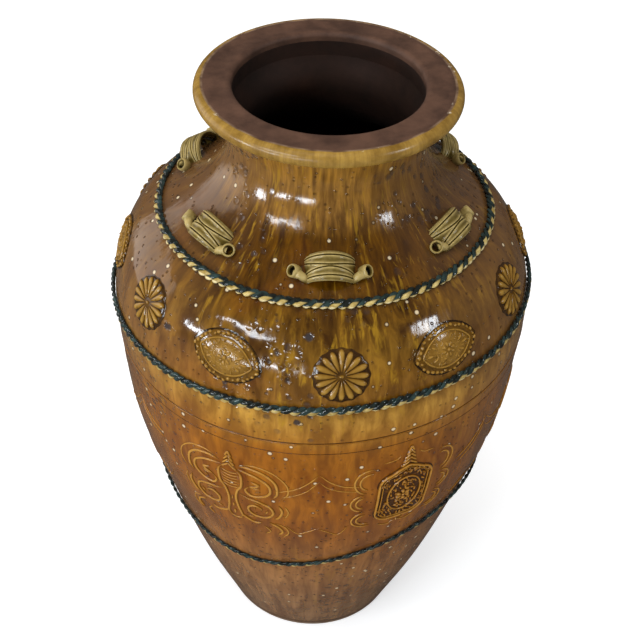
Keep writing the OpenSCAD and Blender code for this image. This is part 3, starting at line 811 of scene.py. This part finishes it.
for k in range(6):
    for kind, master in (("lug_strap", strap), ("lug_curls", curls)):
        node_name = f"{kind}_{k + 1}"
        set_out(master, node_name + "_clay", LUG_Z, LUG_TURNS[k], "lug_glaze", node_name,
                bring=stand_on)
    for kind, master, z0, turn0, tilt in (
            ("rosette", rosette, ROSETTE_Z[k], ROSETTE_TURN, 0),
            ("medallion", medallion, MEDALLION_Z[k], MEDALLION_TURN, MEDALLION_TILT[k])):
        node_name = f"{kind}_{k + 1}"
        set_out(master, node_name + "_sprig", z0, turn0 + 60 * k, "sprig_glaze", node_name,
                tilt=tilt)
for k, (lattice_turn, vase_turn) in enumerate(zip(PANEL_TURNS[::2], PANEL_TURNS[1::2]), 1):
    for node_name, master, z0, turn in ((f"lattice_panel_{k}", lattice, PANEL_Z, lattice_turn),
                                        (f"vase_panel_{k}", vase, VASE_Z, vase_turn)):
        set_out(master, node_name + "_relief", z0, turn, "panel_glaze", node_name)
    set_out(cloud, f"cloud_lines_{k}", PANEL_Z, lattice_turn, "panel_glaze")
for k, turn in enumerate(BRACKET_TURNS, 1):
    set_out(bracket, f"bracket_lines_{k}", BRACKET_Z, turn, "panel_glaze")
discard(strap, curls, rosette, medallion, lattice, vase, cloud, bracket)
print({k: len(v) for k, v in pieces.items()})

# %% [markdown]
# Two fine lines go round the belly. They were cut on the turning jar with a point, which pushes
# up a low lip beside the dark cut. They follow the lean of the middle rope.

# %% Cut lines round the belly
CUT_LINES = {  # height on the jar, climb, width, height over the wall, crest
    "cut_line": (441.0, 9, 1.3, 0.25, 0.0),
    "cut_lip": (439.6, 9, 1.6, 0.5, 0.5),
    "faint_line": (425.5, 8, 0.9, 0.2, 0.0)}
for name, (z0, climb, width, height, value) in CUT_LINES.items():
    a = np.linspace(0, 2 * math.pi, 360, endpoint=False)
    z = z0 + climb * np.sin(a) + 0.5 * np.sin(5 * a)
    o = clay_roll(name, round_axis(wall_r(z), a, z), width / 2)
    co = points_of(o) / MM
    r = np.hypot(co[:, 0], co[:, 1])
    flat_r = wall_r(co[:, 2]) + (r - wall_r(co[:, 2])) * height / (width / 2)
    co[:, :2] *= (flat_r / r)[:, None]
    set_points(o, co * MM)
    keep_value(o, "crest", np.full(len(co), value))
    pieces["panel_glaze"].append(settle(smooth(o, 180), "panel_glaze"))
print("lines round the belly:", len(CUT_LINES))

# %% [markdown]
# Materials are put together from nodes. The helpers here add a node and link what is given to
# it: sums and products, a range, noise, a mix of two colours, layers of colour over each other,
# and a bump.

# %% Helpers for materials


def link(value, socket):
    """Links a value that another node puts out, or writes a plain one down."""
    if isinstance(value, bpy.types.NodeSocket):
        socket.id_data.links.new(value, socket)
    else:
        socket.default_value = value


def node(tree, kind, inputs=None, **settings):
    n = tree.nodes.new("ShaderNode" + kind)
    for k, v in settings.items():
        setattr(n, k, v)
    for k, v in (inputs or {}).items():
        link(v, n.inputs[k])
    return n


def maths(operation, a, *others):
    return node(a.id_data, "Math", dict(enumerate((a, *others))), operation=operation).outputs[0]


def times(a, b):
    return maths("MULTIPLY", a, b)


def plus(a, b):
    return maths("ADD", a, b)


def vector(operation, a, *others, give=0, **named_inputs):
    return node(a.id_data, "VectorMath", {**dict(enumerate((a, *others))), **named_inputs},
                operation=operation).outputs[give]


def ranged(value, low, high, to_low=0.0, to_high=1.0):
    return node(value.id_data, "MapRange", {
        "Value": value, "From Min": low, "From Max": high, "To Min": to_low,
        "To Max": to_high}).outputs[0]


def noise(where, scale, detail, roughness=0.5, distortion=0.0):
    return node(where.id_data, "TexNoise", {
        "Vector": where, "Scale": scale, "Detail": detail, "Roughness": roughness,
        "Distortion": distortion}).outputs[0]


def drift(value, amount):
    """Noise as a shift to either side."""
    return times(maths("SUBTRACT", value, 0.5), amount)


def object_place(tree):
    return node(tree, "TexCoord").outputs["Object"]


def split(place):
    return node(place.id_data, "SeparateXYZ", {0: place}).outputs


def across(place):
    """A place seen from above, without its height."""
    x, y, z = split(place)
    return node(place.id_data, "CombineXYZ", {0: x, 1: y}).outputs[0]


def kept_value(tree, name):
    return node(tree, "Attribute", attribute_name=name).outputs["Fac"]


def mixed(mask, *colours):
    a, b = [c if isinstance(c, bpy.types.NodeSocket) else (*c, 1) for c in colours]
    return node(mask.id_data, "Mix", {0: mask, 6: a, 7: b}, data_type="RGBA").outputs[2]


def layered(colour, *layers):
    """Lays each (mask, colour) over what is there already."""
    for mask, over in layers:
        colour = mixed(mask, colour, over)
    return colour


def bumped(height, strength, distance, below=None):
    n = node(height.id_data, "Bump", {"Height": height, "Strength": strength,
                                      "Distance": distance})
    if below:
        link(below, n.inputs["Normal"])
    return n.outputs[0]


def new_group(name, inputs, outputs):
    g = bpy.data.node_groups.new(name, "ShaderNodeTree")
    for label, value in inputs.items():
        g.interface.new_socket(label, in_out="INPUT",
                               socket_type="NodeSocketFloat").default_value = value
    for label in outputs:
        g.interface.new_socket(label, in_out="OUTPUT", socket_type="NodeSocketFloat")
    return g, g.nodes.new("NodeGroupInput").outputs, g.nodes.new("NodeGroupOutput").inputs


def use_group(tree, group, **values):
    n = tree.nodes.new("ShaderNodeGroup")
    n.node_tree = group
    for k, v in values.items():
        n.inputs[k].default_value = v
    return n.outputs


def new_material(name):
    m = bpy.data.materials.new(name)
    m.use_nodes = True
    return m, m.node_tree, m.node_tree.nodes["Principled BSDF"]


def finish(shader, colour, roughness, normal, ior=None):
    link(colour, shader.inputs["Base Color"])
    link(roughness, shader.inputs["Roughness"])
    link(normal, shader.inputs["Normal"])
    if ior:
        shader.inputs["IOR"].default_value = ior


print("material helpers ready")

# %% [markdown]
# The glaze ran while it melted, so its colour lies in runs down the wall. Noise that is read by
# direction from the axis, and more slowly by height less radius, gives such runs on neck,
# shoulder and body alike, with no seam. The group puts out the runs, broad clouds, the height on
# the jar and how far a place lies to the side.

# %% Shared effect: runs of glaze
runs, given, out = new_group("glaze_runs", {"Width": 1.0, "Reach": 1.0},
                             ["Run", "Cloud", "Height", "Side"])
place = object_place(runs)
flat = across(place)
z = split(place)[2]
direction = vector("NORMALIZE", flat)
spread = vector("SCALE", direction, Scale=times(given["Width"], 11.0))
down_wall = maths("SUBTRACT", z, vector("LENGTH", flat, give="Value"))
drawn = node(runs, "CombineXYZ", {2: times(down_wall, times(given["Reach"], 5.0))}).outputs[0]
run_noise = noise(vector("ADD", spread, drawn), 1.0, 4.0, 0.55, 0.7)
link(ranged(run_noise, 0.33, 0.67), out["Run"])
link(ranged(noise(place, 9.0, 4.0, 0.6), 0.33, 0.67), out["Cloud"])
link(maths("DIVIDE", z, TOP_Z * MM), out["Height"])
link(split(direction)[0], out["Side"])
print("glaze_runs nodes:", len(runs.nodes))

# %% [markdown]
# Bubbles burst in the melting glaze and left pits, and specks of iron bled into dark spots.
# Both are cells of a Voronoi pattern: only the small middle of some cells is used.
# The group puts out a mask for the spots, one for their rims and a height for the bump.

# %% Shared effect: iron spots and pits
spots, given, out = new_group("iron_spots", {"Scale": 70.0, "Amount": 0.5, "Size": 1.0},
                              ["Spot", "Rim", "Height"])
cells = node(spots, "TexVoronoi", {"Vector": object_place(spots), "Scale": given["Scale"]}).outputs
chance = split(cells["Color"])[0]
chosen = maths("LESS_THAN", chance, given["Amount"])
size = times(given["Size"], ranged(chance, 0, 1, 0.35, 0.15))
near = maths("DIVIDE", cells["Distance"], size)
core = times(ranged(near, 1.0, 0.55), chosen)
halo = times(times(ranged(near, 0.7, 1.0), ranged(near, 1.35, 1.0)), chosen)
link(core, out["Spot"])
link(halo, out["Rim"])
link(maths("SUBTRACT", times(halo, 0.4), core), out["Height"])
print("iron_spots nodes:", len(spots.nodes))

# %% [markdown]
# On relief the glaze thins over the high points and pools at the foot, where the colour is also
# darkened as painted shade. This group reads the crest value that every relief carries and breaks
# its edge up with noise, so that no two petals match. It puts out a mask for the thin, pale
# places and one for the dark foot, partly pools of glaze and partly painted shade.

# %% Shared effect: glaze on relief
relief, given, out = new_group(
    "thin_on_relief", {"Low": 0.2, "High": 0.9, "Uneven": 0.3, "Depth": 0.22}, ["Thin", "Pool_and_shade"])
moved = plus(kept_value(relief, "crest"),
             drift(noise(object_place(relief), 160.0, 3.0), given["Uneven"]))
link(ranged(moved, given["Low"], given["High"]), out["Thin"])
# The dark foot is partly pools of glaze and partly painted shade.
link(ranged(moved, given["Depth"], 0.0), out["Pool_and_shade"])
print("thin_on_relief nodes:", len(relief.nodes))

# %% [markdown]
# The wall has one glaze from neck to foot, because it was poured over the whole pot. Its colour
# changes with the height: honey on the neck, deep brown and olive-gold on the shoulder, a bright
# amber band under the middle rope, orange-brown on the belly and a greyer brown near the foot. A
# greyer brown is painted on the left and right sides too, as a painted reflection of the room.
# Two patterns of runs, broad clouds, groups of pits and pale specks painted as the glints of small
# pits break it up.

# %% Glaze of the wall
HONEY = ((0.0, 0.30, 0.17, 0.085), (0.22, 0.33, 0.155, 0.055), (0.42, 0.32, 0.105, 0.010),
         (0.61, 0.36, 0.125, 0.008), (0.672, 0.54, 0.28, 0.045), (0.70, 0.28, 0.12, 0.016),
         (0.765, 0.22, 0.105, 0.010), (0.83, 0.125, 0.046, 0.001), (0.862, 0.12, 0.046, 0.001),
         (0.885, 0.38, 0.18, 0.030), (1.0, 0.39, 0.18, 0.022))
BROWN = ((0.0, 0.16, 0.085, 0.045), (0.30, 0.16, 0.062, 0.018), (0.55, 0.15, 0.038, 0.003),
         (0.660, 0.21, 0.085, 0.010), (0.70, 0.090, 0.034, 0.003), (0.80, 0.032, 0.011, 0.0006),
         (0.865, 0.035, 0.012, 0.001), (0.89, 0.12, 0.052, 0.010), (1.0, 0.13, 0.058, 0.012))
PITTED = ((-16, 512, 60), (-4, 466, 30), (-1, 556, 26), (-47, 524, 24), (150, 500, 60))


def by_height(height, stops):
    """A colour for each share of the jar's height."""
    ramp = node(height.id_data, "ValToRGB", {"Fac": height})
    while len(ramp.color_ramp.elements) < len(stops):
        ramp.color_ramp.elements.new(0.5)
    for e, (at, *colour) in zip(ramp.color_ramp.elements, stops):
        e.position, e.color = at, (*colour, 1)
    return ramp.outputs["Color"]


wall_glaze, t, shader = new_material("wall_glaze")
run = use_group(t, runs, Width=1.1, Reach=4.0)
fine = use_group(t, runs, Width=2.8, Reach=6.0)
big = use_group(t, spots, Scale=105.0, Amount=0.6, Size=1.5)
small = use_group(t, spots, Scale=210.0, Amount=0.22, Size=0.8)
speck = use_group(t, spots, Scale=70.0, Amount=0.5, Size=0.5)
cloud_mask, brown = run["Cloud"], by_height(run["Height"], BROWN)
gold = times(times(ranged(fine["Run"], 0.34, 0.0), ranged(cloud_mask, 0.35, 0.75)),
             ranged(run["Height"], 0.5, 0.66, 0.15, 0.75))
place = object_place(t)
pitted = times(ranged(cloud_mask, 0.6, 0.9), 0.6)
for turn, z, reach in PITTED:
    middle = [float(v) for v in press(np.zeros((1, 3)), z, turn)[0]]
    away = vector("DISTANCE", place, middle, give="Value")
    pitted = maths("MAXIMUM", pitted, ranged(away, reach * MM, reach * 0.5 * MM))
colour = layered(
    by_height(run["Height"], HONEY),
    (ranged(run["Run"], 0.15, 1.0), brown),
    (times(ranged(fine["Run"], 0.35, 1.0), 0.5), brown),
    (gold, (0.44, 0.235, 0.014)),
    (times(ranged(cloud_mask, 0.35, 0.0), 0.30), (0.16, 0.040, 0.006)),
    (times(ranged(cloud_mask, 0.45, 0.85), 0.35), brown),
    # Painted reflection: the left and right sides, as seen from the camera, turn a greyer brown, as
    # if the glaze mirrored the room.
    (times(ranged(maths("ABSOLUTE", run["Side"]), 0.45, 1.0), 0.62), (0.16, 0.080, 0.034)),
    (times(times(big["Spot"], pitted), 0.9), (0.030, 0.027, 0.030)),
    (times(small["Spot"], 0.5), (0.040, 0.016, 0.006)),
    # Painted glints: small dark rings with a pale speck in the middle stand in for the glint in a
    # small pit.
    (times(speck["Rim"], 0.8), (0.03, 0.012, 0.004)),
    (times(speck["Spot"], 0.75), (0.80, 0.66, 0.42)))
waves = bumped(noise(place, 26.0, 1.5), 0.55, 0.004)
ribbed = bumped(fine["Run"], 0.04, 0.002, waves)
pit_height = plus(times(big["Height"], pitted), small["Height"])
finish(shader, colour, plus(times(cloud_mask, 0.08), 0.075),
       bumped(pit_height, 0.7, 0.0014, ribbed), 1.52)
print("wall_glaze nodes:", len(t.nodes))

# %% [markdown]
# Relief pieces share one recipe with different colours: a dark colour at the foot, partly pools
# of glaze and partly painted shade, the body of the glaze, and a pale colour where it ran thin. The
# bump is fine, because slip and glaze round off every edge. The rolls of the ropes are
# straw-coloured on their lower side and dark green-blue where the glaze gathered above.

# %% Glaze of the relief pieces
# The first colour is the dark foot of each relief: partly pools of glaze, partly painted shade.
RELIEF_GLAZES = {  # pooled, body and thin colours, crest from and to, roughness, uneven, pool
    "lug_glaze": ((0.009, 0.007, 0.003), (0.105, 0.070, 0.013), (0.44, 0.325, 0.115), 0.50, 0.98),
    "sprig_glaze": ((0.036, 0.015, 0.003), (0.15, 0.068, 0.007), (0.36, 0.20, 0.032), 0.35, 1.0,
                    0.14),
    "medallion_glaze": ((0.020, 0.009, 0.002), (0.13, 0.058, 0.006), (0.34, 0.18, 0.028), 0.30,
                        0.85, 0.12, 0.6),
    "panel_glaze": ((0.060, 0.020, 0.003), (0.22, 0.080, 0.006), (0.50, 0.24, 0.035), 0.45, 0.95,
                    0.14, 0.35, 0.34)}
ROPE_GLAZES = {"light_roll": (0.42, 0.54), "thin_light_roll": (0.47, 0.60),
               "dark_roll": (0.80, 0.90)}


def relief_glaze(name, pooled_and_shaded, body, thin, low, high, roughness=0.2, uneven=0.35, pool_and_shade_depth=0.22):
    m, t, shader = new_material(name)
    on = use_group(t, relief, Low=low, High=high, Uneven=uneven, Depth=pool_and_shade_depth)
    run = use_group(t, runs, Width=2.5, Reach=2.0)
    speck = use_group(t, spots, Scale=190.0, Amount=0.25, Size=0.8)
    # Painted shade and pools of glaze darken the foot of each relief.
    colour = layered(mixed(on["Thin"], body, thin), (times(run["Run"], 0.35), body),
                     (on["Pool_and_shade"], pooled_and_shaded), (times(speck["Spot"], 0.5), pooled_and_shaded))
    height = plus(noise(object_place(t), 420.0, 3.0), speck["Height"])
    finish(shader, colour, ranged(on["Thin"], 0, 1, roughness * 0.8, roughness * 1.5),
           bumped(height, 0.25, 0.0006), 1.5)
    return m


def rope_glaze(name, straw_from, straw_to):
    m, t, shader = new_material(name)
    where = object_place(t)
    patch = noise(where, 110.0, 4.0)
    moved = plus(plus(kept_value(t, "below"), drift(patch, 0.35)),
                 drift(noise(where, 14.0, 2.0), 0.5))
    straw_mask = times(ranged(moved, straw_from, straw_to),
                       ranged(kept_value(t, "crest"), 0.12, 0.35))
    sheen = mixed(ranged(patch, 0.42, 0.7), (0.010, 0.012, 0.010), (0.030, 0.055, 0.050))
    straw = mixed(ranged(patch, 0.3, 0.62), (0.60, 0.46, 0.17), (0.30, 0.20, 0.045))
    edge_mask = times(ranged(moved, 0.84, 0.96), 0.9)
    finish(shader, layered(sheen, (straw_mask, straw), (edge_mask, (0.70, 0.58, 0.30))),
           ranged(straw_mask, 0, 1, 0.12, 0.3), bumped(patch, 0.4, 0.0012), 1.5)
    return m


glazes = {name: relief_glaze(name, *look) for name, look in RELIEF_GLAZES.items()}
glazes.update({name: rope_glaze(name, *look) for name, look in ROPE_GLAZES.items()})
print("relief glazes:", sorted(glazes))

# %% [markdown]
# The rim's flat top is dry: the glaze is thin and rubbed there and shows chocolate-brown clay,
# while the lip around it keeps its ochre glaze. The edge between them is chipped to pale clay.
# The material is split by the distance from the axis, which is the same all round the rim.

# %% Rim and inner wall
rim_clay, t, shader = new_material("rim_clay")
where = object_place(t)
r = vector("LENGTH", across(where), give="Value")
wander, mottle = noise(where, 60.0, 4.0), noise(where, 38.0, 6.0, 0.65)
on_lip = ranged(plus(r, drift(wander, 0.003)), 0.1168, 0.1182)
top_colour = mixed(ranged(mottle, 0.35, 0.65), (0.058, 0.027, 0.016), (0.115, 0.055, 0.032))
lip_colour = mixed(ranged(mottle, 0.38, 0.62), (0.20, 0.105, 0.014), (0.40, 0.235, 0.045))
drip = times(use_group(t, runs, Width=4.0, Reach=1.0)["Run"], 0.4)
# A light pinkish band along the outer edge of the top: partly wear, partly painted sheen.
worn_and_sheen = times(times(ranged(r, 0.1150, 0.1162), ranged(r, 0.1180, 0.1168)), 0.45)
at_edge = times(ranged(r, 0.1145, 0.1165), ranged(r, 0.1195, 0.1175))
chips = times(ranged(noise(where, 55.0, 5.0, 0.7), 0.60, 0.63), at_edge)
colour = layered(top_colour, (on_lip, mixed(drip, lip_colour, (0.13, 0.065, 0.012))),
                 (times(worn_and_sheen, ranged(wander, 0.38, 0.6)), (0.42, 0.28, 0.16)),
                 (chips, (0.62, 0.52, 0.38)))
finish(shader, colour, ranged(on_lip, 0, 1, 0.62, 0.26),
       bumped(maths("SUBTRACT", mottle, chips), 0.35, 0.0015))

# Painted shade: the inside gets a near-black clay colour, darker than the bare clay of the rim, for
# the shade deep inside the jar.
shaded_inner_clay, t, shader = new_material("shaded_inner_clay")
mottle = noise(object_place(t), 30.0, 6.0, 0.65)
finish(shader, mixed(ranged(mottle, 0.3, 0.7), (0.014, 0.006, 0.003), (0.032, 0.013, 0.007)),
       ranged(mottle, 0, 1, 0.75, 0.5), bumped(mottle, 0.3, 0.0012))
print("rim_clay and shaded_inner_clay ready")

# %% [markdown]
# The foot was wiped clean, so it shows dry clay with a ragged edge of glaze above it. It uses
# the height over the ground: below a wandering line the clay shows.

# %% Foot
foot_clay, t, shader = new_material("foot_clay")
where = object_place(t)
mottle = noise(where, 45.0, 5.0)
dry_line = plus(split(where)[2], drift(mottle, 0.014))
dry = mixed(mottle, (0.16, 0.10, 0.065), (0.30, 0.20, 0.13))
finish(shader, mixed(ranged(dry_line, 0.005, 0.0065), dry, (0.14, 0.07, 0.032)),
       ranged(dry_line, 0.005, 0.0065, 0.8, 0.25), bumped(mottle, 0.3, 0.001))
print("foot_clay ready")

# %% [markdown]
# Each piece now gets its glaze. The wall sections have two: the poured glaze outside and a very
# dark clay inside, partly bare clay and partly painted shade, told apart by whether a face looks
# away from the axis.

# %% Give every piece its finish
WALL_SLOTS = {"shoulder_wall": "shoulder_glaze", "neck": "neck_glaze"}


def dress(o, *materials):
    o.data.materials.clear()
    for m in materials:
        o.data.materials.append(m)
    return o


def from_axis(p):
    return math.hypot(p.center.x, p.center.y)


for node_name, o in walls.items():
    dress(o, wall_glaze, shaded_inner_clay)
    for p in o.data.polygons:
        outward = p.normal.x * p.center.x + p.normal.y * p.center.y
        inside = from_axis(p) < (wall_r(p.center.z / MM) - WALL / 2) * MM
        p.material_index = 1 if inside or outward < 0 else 0
    settle(o, WALL_SLOTS.get(node_name, "body_glaze"), node_name)
dress(rim, rim_clay, shaded_inner_clay)
for p in rim.data.polygons:
    p.material_index = 1 if from_axis(p) < (MOUTH_R + 0.5) * MM and p.center.z < 0.690 else 0
settle(rim, "rim_clay", "mouth_rim")
settle(dress(base, foot_clay), "body_glaze", "base_disc")
for node_name, o in ropes.items():
    shade = node_name.rsplit("_", 1)[1]
    thin = "thin_" if node_name == "middle_rope_light" else ""
    settle(dress(o, glazes[f"{thin}{shade}_roll"]), f"rope_{shade}_glaze", node_name)
for finish_name, made in pieces.items():
    for o in made:
        dress(o, glazes["medallion_glaze" if o.name.startswith("medallion") else finish_name])

# %% [markdown]
# The jar stands on a plain pale floor in soft studio light. The floor is white to the camera but
# keeps the jar's shadow, because its own glow is added to the light that reaches it. The glaze
# mirrors a darker room than the one that lights it, so that its colour stays deep. A row of low
# windows on the left, a high one on each side and a dim wall far to the left give it their
# highlights.

# %% Floor, light and world
floor = added(bpy.ops.mesh.primitive_plane_add, size=12, location=(0, 0, 0))
floor.name = "floor"
white, t, shader = new_material("floor_white")
shader.inputs["Roughness"].default_value = 0.9
ray = node(t, "LightPath").outputs
link(mixed(ray["Is Glossy Ray"], (0.82, 0.82, 0.82), (0.09, 0.085, 0.08)),
     shader.inputs["Base Color"])
glow = node(t, "Emission", {"Color": (1, 1, 1, 1), "Strength": times(ray["Is Camera Ray"], 0.5)})
both = node(t, "AddShader", {0: shader.outputs[0], 1: glow.outputs[0]})
link(both.outputs[0], t.nodes["Material Output"].inputs["Surface"])
dress(floor, white)

world = bpy.data.worlds.new("studio")
bpy.context.scene.world = world
world.use_nodes = True
ray = node(world.node_tree, "LightPath").outputs
backdrop = world.node_tree.nodes["Background"].inputs
room = ranged(ray["Is Glossy Ray"], 0, 1, 0.42, 0.10)
link(maths("MAXIMUM", room, ray["Is Camera Ray"]), backdrop["Strength"])
backdrop["Color"].default_value = (1, 1, 1, 1)
SHOULDER = (0, 0, 0.53)


def soft_panel(name, place, aim, width, height, power, mirrored=True):
    bpy.ops.object.light_add(type="AREA", location=place)
    lamp = bpy.context.object
    lamp.name = name
    lamp.data.shape = "RECTANGLE"
    lamp.data.size, lamp.data.size_y = width, height
    lamp.data.energy = power
    lamp.visible_glossy = mirrored
    lamp.rotation_euler = (Vector(aim) - Vector(place)).to_track_quat("-Z", "Y").to_euler()
    return lamp


def window(name, turn, rise, distance, width, height, power, colour=(0.86, 0.93, 1.0)):
    """A lit window at an azimuth and a height above the horizon, seen from the jar's shoulder."""
    a, e = math.radians(turn), math.radians(rise)
    place = (distance * math.cos(e) * math.sin(a), -distance * math.cos(e) * math.cos(a),
             SHOULDER[2] + distance * math.sin(e))
    soft_panel(name, place, SHOULDER, width, height, power).data.color = colour


window("left_window_far", -66, 6, 3.0, 0.50, 0.26, 17)
window("left_window_middle", -44, 2, 3.0, 0.70, 0.20, 16)
window("left_window_near", -19, 2, 3.0, 0.75, 0.16, 12)
window("high_window_left", -40, 30, 3.2, 1.5, 0.22, 24)
window("high_window_right", 61, 24, 3.0, 0.32, 0.5, 12)
window("left_wall", -108, 4, 2.8, 2.2, 2.2, 22, (1.0, 0.93, 0.88))
soft_panel("ceiling_panel", (-0.3, -0.7, 3.0), (0, 0, 0.5), 1.6, 1.2, 40, mirrored=False)
